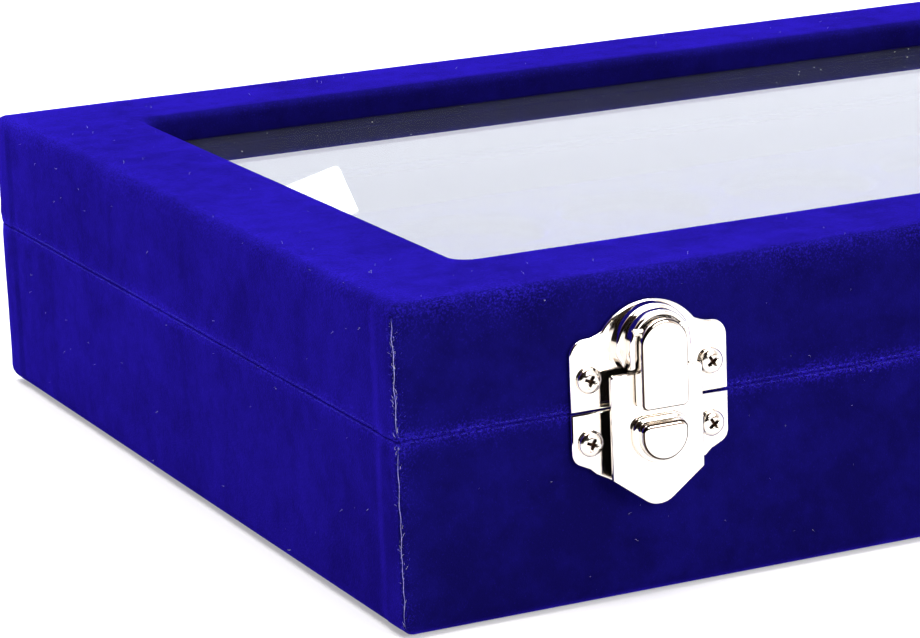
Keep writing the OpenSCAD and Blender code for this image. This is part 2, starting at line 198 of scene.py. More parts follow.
def add_floor():
    mesh = bpy.data.meshes.new("floor")
    mesh.from_pydata([(-4, -4, 0), (4, -4, 0), (4, 4, 0), (-4, 4, 0)], [], [(0, 1, 2, 3)])
    floor = bpy.data.objects.new("floor", mesh)
    bpy.context.collection.objects.link(floor)
    material, tree, shader, place = new_material("white_paper_sweep")
    grain = add_node(tree, "ShaderNodeTexNoise", {"Scale": per_metre(60), "Detail": 3.0}, {"Vector": place})
    tree.links.new(ramp(tree, grain.outputs["Fac"], [(0.3, "#d2d2d3"), (0.7, "#d6d6d6")]), shader.inputs["Base Color"])
    shader.inputs["Roughness"].default_value = 0.9
    shader.inputs["Emission Color"].default_value = linear("#ffffff")
    shader.inputs["Emission Strength"].default_value = FLOOR_GLOW
    mesh.materials.append(material)
    floor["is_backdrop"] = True


def add_screen(corner, along, up, radius=0.004):
    """A glowing fabric panel with one rounded corner, given by that corner and its two edges."""
    corner, along, up = Vector(corner), Vector(along), Vector(up)
    a, u = along.normalized() * radius, up.normalized() * radius
    turn = [corner + a + u - a * math.sin(t) - u * math.cos(t) for t in (0, 0.4, 0.8, 1.2, math.pi / 2)]
    mesh = bpy.data.meshes.new("fabric_screen")
    points = [corner + along, *turn, corner + up, corner + along + up]
    mesh.from_pydata(points, [], [tuple(range(len(points)))])
    screen = bpy.data.objects.new("fabric_screen", mesh)
    bpy.context.collection.objects.link(screen)
    material, tree, shader, place = new_material("glowing_white_fabric")
    weave = add_node(tree, "ShaderNodeTexNoise", {"Scale": per_metre(90), "Detail": 2.0}, {"Vector": place})
    glow = add_node(tree, "ShaderNodeMapRange", {"To Min": 2.3, "To Max": 2.6}, {"Value": weave.outputs["Fac"]})
    tree.links.new(glow.outputs["Result"], shader.inputs["Emission Strength"])
    shader.inputs["Emission Color"].default_value = linear("#ffffff")
    mesh.materials.append(material)
    screen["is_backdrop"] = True


add_sky()
add_floor()
add_screen(SCREEN_CORNER, SCREEN_ALONG, SCREEN_UP)
overhead = add_softbox("overhead_softbox", (0.0, 0.1, 1.2), (0, 0, 0), (1.2, 1.2), 28)
front = add_softbox("front_softbox", (0.35, -1.15, 0.6), (0, 0, 0), (0.6, 0.6), 12)
print("sky strength", SKY, "lamp watts", overhead.data.energy, front.data.energy)

# %% [markdown]
# Velvet is a dense upright pile, here flocked short on a woven back and glued round the wood. Looked at
# along the pile it is nearly black-blue, because light is lost between the fibres, and at a glancing angle
# the fibre tips light up. That is what sheen does in the shader, so the body colour stays dark and the
# sheen carries the bright blue. Fine noise breaks it up at the size of a tuft, about a third of a
# millimetre, which is drawn a little coarser than the real pile so that it shows.
# %% Velvet


def velvet(name, body, body_light, tip, sheen, sheen_roughness, tint):
    material, tree, shader, place = new_material(name)
    tuft = add_node(tree, "ShaderNodeTexNoise", {"Scale": per_metre(0.27), "Detail": 4.0, "Roughness": 0.62},
                    {"Vector": place})
    mottle = add_node(tree, "ShaderNodeTexNoise", {"Scale": per_metre(3.5), "Detail": 5.0, "Roughness": 0.65},
                      {"Vector": place})
    brushed = add_node(tree, "ShaderNodeTexNoise", {"Scale": per_metre(22), "Detail": 3.0, "Distortion": 0.8},
                       {"Vector": place})
    # The stored value lightens the pile colour and raises the sheen: rubbing on the edges, and a painted highlight
    # along the parting lips.
    worn = add_node(tree, "ShaderNodeAttribute", attribute_name="worn").outputs["Fac"]
    blend = add_node(tree, "ShaderNodeMath", {1: 0.5}, {0: mottle.outputs["Fac"]}, operation="MULTIPLY")
    height = add_node(tree, "ShaderNodeMath", {1: 0.5}, {0: brushed.outputs["Fac"], 2: blend.outputs[0]},
                      operation="MULTIPLY_ADD")
    pile = ramp(tree, height.outputs[0], [(0.40, body), (0.60, body_light)])
    contrast = add_node(tree, "ShaderNodeMath", {1: 1.0, 2: 0.4}, {0: worn}, operation="MULTIPLY_ADD")
    centred = add_node(tree, "ShaderNodeMath", {1: 0.5}, {0: tuft.outputs["Fac"]}, operation="SUBTRACT")
    ruffled = add_node(tree, "ShaderNodeMath", {2: 0.5}, {0: centred.outputs[0], 1: contrast.outputs[0]},
                       operation="MULTIPLY_ADD")
    lifted = add_node(tree, "ShaderNodeMath", {1: 0.16}, {0: worn, 2: ruffled.outputs[0]}, operation="MULTIPLY_ADD")
    tips = ramp(tree, lifted.outputs[0], [(0.54, "#000000"), (0.86, "#ffffff")])
    mixed = add_node(tree, "ShaderNodeMix", data_type="RGBA")
    tree.links.new(tips, mixed.inputs["Factor"])
    tree.links.new(pile, mixed.inputs["A"])
    mixed.inputs["B"].default_value = linear(tip)
    shine = add_node(tree, "ShaderNodeMapRange",
                     {"From Min": 0.34, "From Max": 0.7, "To Min": 0.62 * sheen, "To Max": 1.5 * sheen},
                     {"Value": lifted.outputs[0]})
    patchy = add_node(tree, "ShaderNodeMapRange", {"From Min": 0.38, "From Max": 0.62, "To Min": 0.8, "To Max": 1.2},
                      {"Value": height.outputs[0]})
    weight = add_node(tree, "ShaderNodeMath", {}, {0: shine.outputs["Result"], 1: patchy.outputs["Result"]},
                      operation="MULTIPLY", use_clamp=True)
    bump = add_node(tree, "ShaderNodeBump", {"Strength": 0.3, "Distance": 0.0002}, {"Height": tuft.outputs["Fac"]})
    tree.links.new(mixed.outputs["Result"], shader.inputs["Base Color"])
    tree.links.new(weight.outputs[0], shader.inputs["Sheen Weight"])
    tree.links.new(bump.outputs["Normal"], shader.inputs["Normal"])
    shader.inputs["Roughness"].default_value = 1.0
    shader.inputs["Specular IOR Level"].default_value = 0.0
    shader.inputs["Sheen Roughness"].default_value = sheen_roughness
    shader.inputs["Sheen Tint"].default_value = linear(tint)
    return material


VELVET = velvet("royal_blue_velvet", "#0a0740", "#0e0a52", "#251a9e", 0.70, 0.35, "#4026ff")
LINING = velvet("blue_flocked_lining", "#080640", "#0c0950", "#1a1280", 0.6, 0.5, "#2614c4")
print("velvet materials ready")

# %% [markdown]
# Metal and glass. The latches are thin pressed steel with bright nickel plate: a warm white metal that
# mirrors the studio, with faint ripples left by pressing and barrel polishing. The pane is clear float
# glass with a trace of green. A thin film of dust on it turns about one per cent of the light into haze.
# %% Nickel, glass and carcass materials


def nickel(name, colour, roughness, ripple_mm, ripple_strength):
    material, tree, shader, place = new_material(name)
    ripple = add_node(tree, "ShaderNodeTexNoise", {"Scale": per_metre(ripple_mm), "Detail": 2.0}, {"Vector": place})
    haze = add_node(tree, "ShaderNodeTexNoise", {"Scale": per_metre(0.9), "Detail": 4.0}, {"Vector": place})
    spread = add_node(tree, "ShaderNodeMapRange", {"To Min": roughness, "To Max": roughness * 2.2},
                      {"Value": haze.outputs["Fac"]})
    bump = add_node(tree, "ShaderNodeBump", {"Strength": ripple_strength, "Distance": 0.0001},
                    {"Height": ripple.outputs["Fac"]})
    # A dark brown is painted in place of dark reflections round the lever and button faces and of shade in the screw
    # recesses.
    crease = add_node(tree, "ShaderNodeAttribute", attribute_name="crease").outputs["Fac"]
    tree.links.new(ramp(tree, crease, [(0.15, colour), (0.85, "#2b1d14")]), shader.inputs["Base Color"])
    tree.links.new(spread.outputs["Result"], shader.inputs["Roughness"])
    tree.links.new(bump.outputs["Normal"], shader.inputs["Normal"])
    shader.inputs["Metallic"].default_value = 1.0
    return material


def float_glass():
    material, tree, shader, place = new_material("clear_float_glass")
    film = add_node(tree, "ShaderNodeTexNoise", {"Scale": per_metre(25), "Detail": 3.0}, {"Vector": place})
    clean = add_node(tree, "ShaderNodeMapRange", {"To Min": 0.0, "To Max": 0.012}, {"Value": film.outputs["Fac"]})
    tree.links.new(clean.outputs["Result"], shader.inputs["Roughness"])
    shader.inputs["Base Color"].default_value = linear("#f3faf8")
    shader.inputs["IOR"].default_value = 1.52
    shader.inputs["Transmission Weight"].default_value = 0.988
    return material


def grained(name, dark, light, size_mm, roughness, stretch=(1, 1, 1)):
    material, tree, shader, place = new_material(name)
    mapping = add_node(tree, "ShaderNodeMapping", {"Scale": stretch}, {"Vector": place})
    grain = add_node(tree, "ShaderNodeTexNoise", {"Scale": per_metre(size_mm), "Detail": 6.0, "Roughness": 0.7},
                     {"Vector": mapping.outputs["Vector"]})
    bump = add_node(tree, "ShaderNodeBump", {"Strength": 0.3, "Distance": 0.0001}, {"Height": grain.outputs["Fac"]})
    tree.links.new(ramp(tree, grain.outputs["Fac"], [(0.35, dark), (0.65, light)]), shader.inputs["Base Color"])
    tree.links.new(bump.outputs["Normal"], shader.inputs["Normal"])
    shader.inputs["Roughness"].default_value = roughness
    return material


NICKEL = nickel("bright_nickel_plate", "#e6e0d8", 0.05, 2.5, 0.12)
SCREW_NICKEL = nickel("nickel_plated_screw", "#ddd6cc", 0.09, 0.8, 0.2)
GLASS = float_glass()
FIBREBOARD = grained("medium_density_fibreboard", "#8d6c4a", "#a98761", 0.6, 0.85)
FOAM = grained("white_polyethylene_foam", "#d9d9d4", "#f0f0ec", 0.8, 0.8)
FIBRE = grained("loose_white_fibre", "#b9bcd6", "#f2f3ff", 0.5, 0.7)
BACKING = grained("woven_cloth_backing", "#5a57b8", "#a7a6dc", 0.25, 0.9)
NAP_FIBRE = grained("loose_blue_fibre", "#2a20b0", "#4c3ff0", 0.5, 0.7)
DUST = grained("pale_dust", "#a8abb8", "#dfe2ea", 0.3, 0.9)
print("materials:", len(bpy.data.materials))

# %% [markdown]
# Most of the soft pieces are one closed outline carried round a rectangle with rounded corners. The two
# helpers here make such an outline: one rounds the corners of a polygon with true arcs, and one adds points
# along its long edges so that the cloth can be shaped afterwards.
# %% Outline helpers


def rounded(points, radii, steps=5):
    """The closed polygon with each corner replaced by an arc of its radius."""
    out = []
    for i, (corner, radius) in enumerate(zip(points, radii)):
        corner = Vector(corner)
        if radius <= 0:
            out.append(corner)
            continue
        back = (Vector(points[i - 1]) - corner).normalized()
        ahead = (Vector(points[(i + 1) % len(points)]) - corner).normalized()
        half = back.angle(ahead) / 2
        centre = corner + (back + ahead).normalized() * radius / math.sin(half)
        start = corner + back * radius / math.tan(half) - centre
        end = corner + ahead * radius / math.tan(half) - centre
        for k in range(steps + 1):
            out.append(centre + start.slerp(end, k / steps).normalized() * radius)
    return out


def subdivided(points, longest):
    """The closed polygon with extra points so that no edge is longer than longest."""
    out = []
    for i, start in enumerate(points):
        end = points[(i + 1) % len(points)]
        count = max(1, math.ceil((end - start).length / longest))
        out += [start.lerp(end, k / count) for k in range(count)]
    return out


def arc(x, y, radius, start, end, steps):
    """Points on a circle from one angle to another, in degrees."""
    angles = [math.radians(start + (end - start) * k / steps) for k in range(steps + 1)]
    return [Vector((x + radius * math.cos(a), y + radius * math.sin(a))) for a in angles]


def as_object(name, vertices, faces, material, scale=MM):
    mesh = bpy.data.meshes.new(name)
    mesh.from_pydata([Vector(v) * scale for v in vertices], [], faces)
    mesh.materials.append(material)
    made = bpy.data.objects.new(name, mesh)
    bpy.context.collection.objects.link(made)
    return made


def tidy_mesh(piece, merge=0.002, flat=None):
    """Merges doubles, turns faces outwards and shades smooth, but leaves faces for which flat() is true flat."""
    work = bmesh.new()
    work.from_mesh(piece.data)
    bmesh.ops.remove_doubles(work, verts=work.verts, dist=merge * MM)
    bmesh.ops.dissolve_degenerate(work, edges=work.edges, dist=1e-8)
    bmesh.ops.recalc_face_normals(work, faces=work.faces)
    for face in work.faces:
        face.smooth = not (flat and flat(face))
    open_edges = sum(1 for edge in work.edges if len(edge.link_faces) != 2)
    work.to_mesh(piece.data)
    work.free()
    print(f"{piece.name}: {len(piece.data.polygons)} faces, {open_edges} open edges")
    return piece


# %% [markdown]
# A loop is a rectangle with rounded corners at one height. Its points crowd together near the corners,
# where the cloth folds and frays, and are sparse along the middle of each side. Loops with equal numbers
# of points are then joined into a skin.
# %% Loops round the case
LONG_POINTS, SHORT_POINTS, CORNER_POINTS = 110, 90, 7


def graded(k, count):
    even = k / count
    return 0.35 * even + 0.65 * (0.5 - 0.5 * math.cos(math.pi * even))


def loop(half_w, half_d, radius, z, long_points=LONG_POINTS, short_points=SHORT_POINTS):
    """Points anticlockwise from the front left corner."""
    out = []
    corners = [(1, -1, -90), (1, 1, 0), (-1, 1, 90), (-1, -1, 180)]
    for i, (sx, sy, angle) in enumerate(corners):
        px, py, _ = corners[i - 1]
        count = long_points if i % 2 == 0 else short_points
        centre = Vector((sx * (half_w - radius), sy * (half_d - radius)))
        before = Vector((px * (half_w - radius), py * (half_d - radius)))
        push = Vector((0, -radius)) if angle == -90 else Vector((radius, 0)) if angle == 0 else \
            Vector((0, radius)) if angle == 90 else Vector((-radius, 0))
        for k in range(count):
            out.append((before + push).lerp(centre + push, graded(k, count)).to_3d() + Vector((0, 0, z)))
        for k in range(CORNER_POINTS):
            a = math.radians(angle + 90 * k / CORNER_POINTS)
            out.append(Vector((centre.x + radius * math.cos(a), centre.y + radius * math.sin(a), z)))
    return out


def skin_faces(rings, count, closed):
    faces = []
    for r in range(rings if closed else rings - 1):
        a, b = r * count, ((r + 1) % rings) * count
        for k in range(count):
            n = (k + 1) % count
            faces.append((a + k, a + n, b + n, b + k))
    return faces


def wrap(name, outline, radius_at, material, shape=None):
    """Carries a closed outline of (inset, height) points round the case. shape moves a point of the skin."""
    rings = [loop(CASE_W / 2 - inset, CASE_D / 2 - inset, radius_at(inset), z) for inset, z in outline]
    points = [p for ring in rings for p in ring]
    if shape:
        insets = [inset for inset, z in outline for _ in rings[0]]
        points = [p + shape(p, inset) for p, inset in zip(points, insets)]
    made = as_object(name, points, skin_faces(len(rings), len(rings[0]), True), material)
    return tidy_mesh(made)


def mark_wear_and_highlight(piece):
    """Stores how much each point of the skin is rubbed, most on the upper edges and near the upright corners, and adds
    a painted highlight along the lips at the parting line.
    """
    worn = piece.data.attributes.new("worn", "FLOAT", "POINT")
    for vertex in piece.data.vertices:
        p = vertex.co / MM
        from_end, from_face = CASE_W / 2 - abs(p.x), CASE_D / 2 - abs(p.y)
        near_corner = math.exp(-max(from_end, from_face) / 22)
        top_edge = (0.75 + 0.9 * near_corner) * math.exp(-((CASE_H - p.z) + min(from_end, from_face)) / 1.9)
        window_edge = 0.4 * math.exp(-(abs(min(from_end, from_face) - FRAME_W) + (CASE_H - p.z)) / 1.2)
        # Painted highlight: a bright line along the lips at the parting, where the rounded rim catches the light.
        lip_highlight = 1.1 * math.exp(-abs(p.z - PARTING) / 0.8)
        corner = 0.5 * math.exp(-(from_end + from_face) / 1.5)
        patch = 0.75 + 0.5 * noise.noise(p / 8)
        worn.data[vertex.index].value = max(0, min(1, (top_edge + window_edge + lip_highlight + corner) * patch))
    return piece


# %% [markdown]
# The velvet is glued on in one piece for the base and one for the lid. It is thicker than the pile looks,
# about 0.8 mm, so it rounds every edge, leaves a thin line at the parting, and turns under the base and
# under the window's edge. At each upright corner the end of the cloth laps a few millimetres
# round onto the short side, which leaves a faint step, and the glue draws small puckers at the parting
# line. A formula moves the skin by a few tenths of a millimetre for all of these.
# %% Velvet wraps for base and lid
LAP_W, LAP_STEP = 6.0, 0.16


def smooth_step(value, low, high):
    t = min(1, max(0, (value - low) / (high - low)))
    return t * t * (3 - 2 * t)


def cloth_shape(p, inset):
    """How far the glued velvet stands off or sinks at a point, as a vector in millimetres."""
    if inset > 17:
        return Vector((0, 0, 0))
    side = Vector((0, 0, 0))
    from_end = CASE_W / 2 - abs(p.x)
    from_face = CASE_D / 2 - abs(p.y)
    if inset < 0.6 and from_end < 2:
        side.x = math.copysign(1, p.x)
    if inset < 0.6 and from_face < 2:
        side.y = math.copysign(1, p.y)
    if p.z > CASE_H - 0.6:
        side.z = 1
    if side.length == 0:
        return side
    side.normalize()
    swell = 0.10 * noise.noise(p / 17) + 0.05 * noise.noise(p / 5 + Vector((7, 3, 1)))
    if abs(side.x) > 0.5 and p.z < CASE_H - 1:
        swell += LAP_STEP * (1 - smooth_step(from_face + 0.5 * noise.noise(p / 9), LAP_W - 0.4, LAP_W + 0.5))
    near_corner = math.exp(-(from_end + from_face) / 7)
    near_groove = math.exp(-abs(p.z - PARTING) / 3.2)
    swell += 0.45 * near_corner * near_groove * noise.noise(Vector((p.x / 2.1, p.y / 2.1, p.z / 1.6)))
    if inset < 1.3 and p.z > CASE_H - 1:
        swell *= 0.5
    return side * swell


def base_radius(inset):
    return max(0.3, 0.75 - 0.3 * inset)


def lid_radius(inset):
    blend = min(1, inset / FRAME_W)
    return base_radius(inset) * (1 - blend) + 3.5 * blend if inset > 6 else base_radius(inset)


TURN_IN, LIP_GAP, LIP_R = 9, 0.06, 0.16
BASE_RIM, LID_RIM = PARTING - LIP_GAP / 2, PARTING + LIP_GAP / 2
base_outline = rounded(
    [(TURN_IN, 0.05), (0, 0.05), (0, BASE_RIM), (WALL_IN, BASE_RIM), (WALL_IN, BASE_TOP - SKIN),
     (SKIN, BASE_TOP - SKIN), (SKIN, SKIN), (TURN_IN, SKIN)],
    [0.3, 2.5, LIP_R, 0.35, 0, 0, 0, 0.2])
lid_outline = rounded(
    [(WALL_IN, LID_RIM), (0, LID_RIM), (0, CASE_H), (FRAME_W, CASE_H), (FRAME_W, GLASS_TOP),
     (FRAME_W - 8, GLASS_TOP), (FRAME_W - 8, GLASS_TOP + SKIN), (FRAME_W - SKIN, GLASS_TOP + SKIN),
     (FRAME_W - SKIN, CASE_H - SKIN), (SKIN, CASE_H - SKIN), (SKIN, LID_BOTTOM + SKIN), (WALL_IN, LID_BOTTOM + SKIN)],
    [0.35, LIP_R, 1.7, 1.5, 0.3, 0.2, 0, 0, 0, 0, 0, 0])

base_wrap = wrap("base_velvet_wrap", subdivided(base_outline, 1.7), base_radius, VELVET, cloth_shape)
lid_wrap = wrap("lid_velvet_wrap", subdivided(lid_outline, 1.7), lid_radius, VELVET, cloth_shape)
mark_wear_and_highlight(base_wrap)
mark_wear_and_highlight(lid_wrap)

def settle(piece, body, slot, *nodes):
    """Gives a finished piece its body and hides the frame's nodes it stands for. The slot is not used."""
    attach(piece, body)
    if nodes:
        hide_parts(*nodes)
    return piece


settle(base_wrap, "base", "velvet", "base_velvet_cover")
settle(lid_wrap, "lid", "velvet", "lid_velvet_cover")

# %% [markdown]
# Inside, the walls and floor of the base are lined with thinner flocked cloth, and a strip of it runs round
# the lid and turns under the beads. Under the base, a smooth sheet covers the panel up to the turned-in
# edge of the velvet. The lining is a run of loops with a cap at each end.
# %% Linings and underlay
LINING_T = 0.5
PANEL_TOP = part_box("base_bottom_panel")[1].z / MM


def tray(name, outline, material):
    """Like wrap, for an outline that starts and ends away from the walls and is closed there by flat caps."""
    rings = [loop(CASE_W / 2 - inset, CASE_D / 2 - inset, base_radius(inset), z) for inset, z in outline]
    count = len(rings[0])
    points = [p for ring in rings for p in ring]
    last = len(points) - count
    caps = [tuple(range(count)), tuple(range(last, last + count))]
    made = as_object(name, points, skin_faces(len(rings), count, False) + caps, material)
    return tidy_mesh(made, 0.0005)


LIN_TOP = BASE_TOP - SKIN - 0.02
lining_path = [(WALL_IN + 12, PANEL_TOP), (WALL_IN + 0.5, PANEL_TOP), (WALL_IN + 0.1, PANEL_TOP + 0.2),
               (WALL_IN + 0.01, PANEL_TOP + 0.6), (WALL_IN + 0.01, 12), (WALL_IN + 0.01, 20), (WALL_IN + 0.01, LIN_TOP),
               (WALL_IN + 0.3, LIN_TOP), (WALL_IN + 0.5, LIN_TOP - 0.2), (WALL_IN + 0.5, 20), (WALL_IN + 0.5, 12),
               (WALL_IN + 0.5, PANEL_TOP + 1.1), (WALL_IN + 0.7, PANEL_TOP + 0.7), (WALL_IN + 1.1, PANEL_TOP + 0.5),
               (WALL_IN + 12, PANEL_TOP + 0.5)]
base_lining = tray("base_lining_cloth", lining_path, LINING)
settle(base_lining, "base", "lining", "base_lining")

BEAD_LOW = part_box("glass_beads")[0].z / MM
STRIP_LOW = LID_BOTTOM + SKIN + 0.02
strip_outline = rounded(
    [(WALL_IN + 0.02, STRIP_LOW), (WALL_IN + LINING_T, STRIP_LOW), (WALL_IN + LINING_T, BEAD_LOW - LINING_T),
     (WALL_IN + 5, BEAD_LOW - LINING_T), (WALL_IN + 5, BEAD_LOW - 0.02), (WALL_IN + 0.02, BEAD_LOW - 0.02)],
    [0.1, 0.2, 0.4, 0.2, 0.1, 0.2])
lid_lining = wrap("lid_lining_strip", subdivided(strip_outline, 2.5), base_radius, LINING)
settle(lid_lining, "lid", "lining", "lid_lining")

underlay_path = [(TURN_IN + 40, 0.12), (TURN_IN + 0.5, 0.12), (TURN_IN + 0.2, 0.25), (TURN_IN + 0.2, 0.6),
                 (TURN_IN + 0.5, 0.76), (TURN_IN + 40, 0.76)]
underlay = tray("base_underlay_cloth", underlay_path, LINING)
settle(underlay, "base", "lining", "base_bottom_sheet")

# %% [markdown]
# Repeats are placed with Geometry Nodes. One small node tree puts a copy of a part on every point of a
# carrier mesh, with the turn and the size stored on that point, and one scatters copies over the faces that
# are marked as outer ones. Both end in one plain mesh with its finish.
# %% Geometry Nodes helpers


def new_tree(name, extra):
    tree = bpy.data.node_groups.new(name, "GeometryNodeTree")
    tree.interface.new_socket("Geometry", in_out="OUTPUT", socket_type="NodeSocketGeometry")
    for socket, kind in [("Geometry", "Geometry"), ("Part", "Object"), ("Finish", "Material")] + extra:
        tree.interface.new_socket(socket, in_out="INPUT", socket_type=f"NodeSocket{kind}")
    entry = add_node(tree, "NodeGroupInput").outputs
    part = add_node(tree, "GeometryNodeObjectInfo", {"As Instance": True}, {"Object": entry["Part"]})
    return tree, entry, part.outputs["Geometry"]


def end_tree(tree, entry, geometry):
    real = add_node(tree, "GeometryNodeRealizeInstances", links={"Geometry": geometry})
    merged = add_node(tree, "GeometryNodeMergeByDistance", {"Distance": 0.000002}, {"Geometry": real.outputs[0]})
    dressed = add_node(tree, "GeometryNodeSetMaterial",
                       links={"Geometry": merged.outputs[0], "Material": entry["Finish"]})
    add_node(tree, "NodeGroupOutput", links={"Geometry": dressed.outputs[0]})
    return tree


def placing_tree():
    tree, entry, part = new_tree("copies_on_points", [])
    turn = add_node(tree, "GeometryNodeInputNamedAttribute", {"Name": "turn"}, data_type="FLOAT_VECTOR")
    size = add_node(tree, "GeometryNodeInputNamedAttribute", {"Name": "size"}, data_type="FLOAT")
    rotation = add_node(tree, "FunctionNodeEulerToRotation", links={"Euler": turn.outputs["Attribute"]})
    copies = add_node(tree, "GeometryNodeInstanceOnPoints", links={
        "Points": entry["Geometry"], "Instance": part, "Rotation": rotation.outputs[0],
        "Scale": size.outputs["Attribute"]})
    return end_tree(tree, entry, copies.outputs[0])


def scatter_tree():
    tree, entry, part = new_tree("scattered_copies", [("Density", "Float"), ("Seed", "Int"), ("Largest", "Float")])
    outer = add_node(tree, "GeometryNodeInputNamedAttribute", {"Name": "outer"}, data_type="BOOLEAN")
    points = add_node(tree, "GeometryNodeDistributePointsOnFaces", links={
        "Mesh": entry["Geometry"], "Selection": outer.outputs["Attribute"], "Density": entry["Density"],
        "Seed": entry["Seed"]})
    size = add_node(tree, "FunctionNodeRandomValue", {"Min": 0.35}, {"Max": entry["Largest"], "Seed": entry["Seed"]},
                    data_type="FLOAT")
    spin = add_node(tree, "FunctionNodeRandomValue", {0: (-0.35, -0.35, 0.0), 1: (0.35, 0.35, 6.283)},
                    {"Seed": entry["Seed"]}, data_type="FLOAT_VECTOR")
    copies = add_node(tree, "GeometryNodeInstanceOnPoints", links={
        "Points": points.outputs["Points"], "Instance": part, "Rotation": points.outputs["Rotation"],
        "Scale": size.outputs["Value"]})
    tree.links.new(size.outputs[1], copies.inputs["Scale"])
    turned = add_node(tree, "GeometryNodeRotateInstances", links={
        "Instances": copies.outputs[0], "Rotation": spin.outputs[0]})
    return end_tree(tree, entry, turned.outputs[0])


def finished(piece):
    """Turns a piece with modifiers into a plain mesh."""
    depsgraph = bpy.context.evaluated_depsgraph_get()
    mesh = bpy.data.meshes.new_from_object(piece.evaluated_get(depsgraph), depsgraph=depsgraph)
    piece.modifiers.clear()
    piece.data = mesh
    print(f"{piece.name}: {len(mesh.polygons)} faces")
    return piece


def run_tree(piece, tree, **values):
    modifier = piece.modifiers.new("repeat", "NODES")
    modifier.node_group = tree
    for socket in tree.interface.items_tree:
        if socket.in_out == "INPUT" and socket.name in values:
            modifier[socket.identifier] = values[socket.name]
    return finished(piece)


def carrier(name, places):
    """A mesh of loose points, each with a turn in degrees and a size."""
    mesh = bpy.data.meshes.new(name)
    mesh.from_pydata([Vector(p) * MM for p, turn, size in places], [], [])
    mesh.attributes.new("turn", "FLOAT_VECTOR", "POINT")
    mesh.attributes.new("size", "FLOAT", "POINT")
    for i, (p, turn, size) in enumerate(places):
        mesh.attributes["turn"].data[i].vector = [math.radians(t) for t in turn]
        mesh.attributes["size"].data[i].value = size
    made = bpy.data.objects.new(name, mesh)
    bpy.context.collection.objects.link(made)
    return made


PLACE, SCATTER = placing_tree(), scatter_tree()
print("node trees:", [tree.name for tree in bpy.data.node_groups])

# %% [markdown]
# The coin insert is a foam block with pockets pressed into it and velvet laid over the whole, so every
# pocket has a rolled rim and a floor that runs softly into its wall. One pocket cell is modelled. Its edge
# points are evenly spaced, so neighbouring cells share them and the copies weld into one skin. A border
# then carries the skin to the edge of the insert and round it.
# %% Coin insert
INSERT_W, INSERT_D = (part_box("insert_board")[1].x / MM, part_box("insert_board")[1].y / MM)
INSERT_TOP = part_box("insert_velvet_top")[1].z / MM
PAD_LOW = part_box("insert_velvet_top")[0].z / MM
COLUMNS, ROWS, POCKET_R, POCKET_DEEP = 5, 4, 13.0, 3.0
PITCH_X, PITCH_Y = (CASE_W - 2 * FRAME_W - 4.7) / COLUMNS, (CASE_D - 2 * FRAME_W - 3.2) / ROWS
SIDE_POINTS = 12


def pocket_cell():
    corners = [Vector((sx * PITCH_X / 2, sy * PITCH_Y / 2)) for sx, sy in ((-1, -1), (1, -1), (1, 1), (-1, 1))]
    rim = [corners[i].lerp(corners[(i + 1) % 4], k / SIDE_POINTS) for i in range(4) for k in range(SIDE_POINTS)]
    floor = INSERT_TOP - POCKET_DEEP
    profile = [(5, floor), (9.5, floor), (11.6, floor + 0.05), (12.5, floor + 0.35), (12.85, floor + 0.9),
               (POCKET_R, floor + 1.7), (POCKET_R + 0.08, INSERT_TOP - 0.75), (POCKET_R + 0.3, INSERT_TOP - 0.35),
               (POCKET_R + 0.65, INSERT_TOP - 0.12), (POCKET_R + 1.1, INSERT_TOP - 0.02)]
    points = [(0, 0, floor)]
    for radius, z in profile:
        points += [(p.normalized() * radius).to_3d() + Vector((0, 0, z)) for p in rim]
    points += [(p.x, p.y, INSERT_TOP) for p in rim]
    count = len(rim)
    faces = [(0, 1 + k, 1 + (k + 1) % count) for k in range(count)]
    for ring in range(len(profile)):
        a = 1 + ring * count
        faces += [(a + k, a + count + k, a + count + (k + 1) % count, a + (k + 1) % count) for k in range(count)]
    return as_object("pocket_cell", points, faces, VELVET)


cell = pocket_cell()
grid = [((column - 2) * PITCH_X, (row - 1.5) * PITCH_Y, 0) for column in range(COLUMNS) for row in range(ROWS)]
insert_pad = run_tree(carrier("insert_velvet_pad", [(p, (0, 0, 0), 1) for p in grid]), PLACE, Part=cell, Finish=VELVET)
bpy.data.objects.remove(cell)


def add_border(piece):
    """Carries the open edge of the pocket skin out to the insert's edge, down and under, and closes it."""
    work = bmesh.new()
    work.from_mesh(piece.data)
    edge = [e for e in work.edges if len(e.link_faces) == 1]
    half_w, half_d = COLUMNS * PITCH_X / 2, ROWS * PITCH_Y / 2
    for inset, z in [(9, INSERT_TOP), (5, INSERT_TOP - 0.05), (2.6, INSERT_TOP - 0.25), (1.2, INSERT_TOP - 0.75),
                     (0.4, INSERT_TOP - 1.5), (0, INSERT_TOP - 2.4), (0.05, PAD_LOW + 0.25), (0.3, PAD_LOW)]:
        made = bmesh.ops.extrude_edge_only(work, edges=edge)["geom"]
        for vertex in (item for item in made if isinstance(item, bmesh.types.BMVert)):
            vertex.co.x *= (INSERT_W - inset) / half_w
            vertex.co.y *= (INSERT_D - inset) / half_d
            vertex.co.z = z * MM
        half_w, half_d = INSERT_W - inset, INSERT_D - inset
        edge = [item for item in made if isinstance(item, bmesh.types.BMEdge)]
    bmesh.ops.contextual_create(work, geom=edge)
    for vertex in work.verts:
        p = vertex.co / MM
        if p.z > PAD_LOW + 1:
            crown = 0.5 * (1 - (p.x / INSERT_W) ** 2) * (1 - (p.y / INSERT_D) ** 2)
            vertex.co.z += (crown - 0.35 + 0.12 * noise.noise(p / 11)) * MM
    work.to_mesh(piece.data)
    work.free()
    return tidy_mesh(piece)


add_border(insert_pad)
settle(insert_pad, "base", "velvet", "insert_velvet_top")

# %% [markdown]
# Plain bars and blocks with softly rounded edges: the foam under the insert and the four cloth-covered
# beads that hold the glass up.
# %% Foam core and glass beads


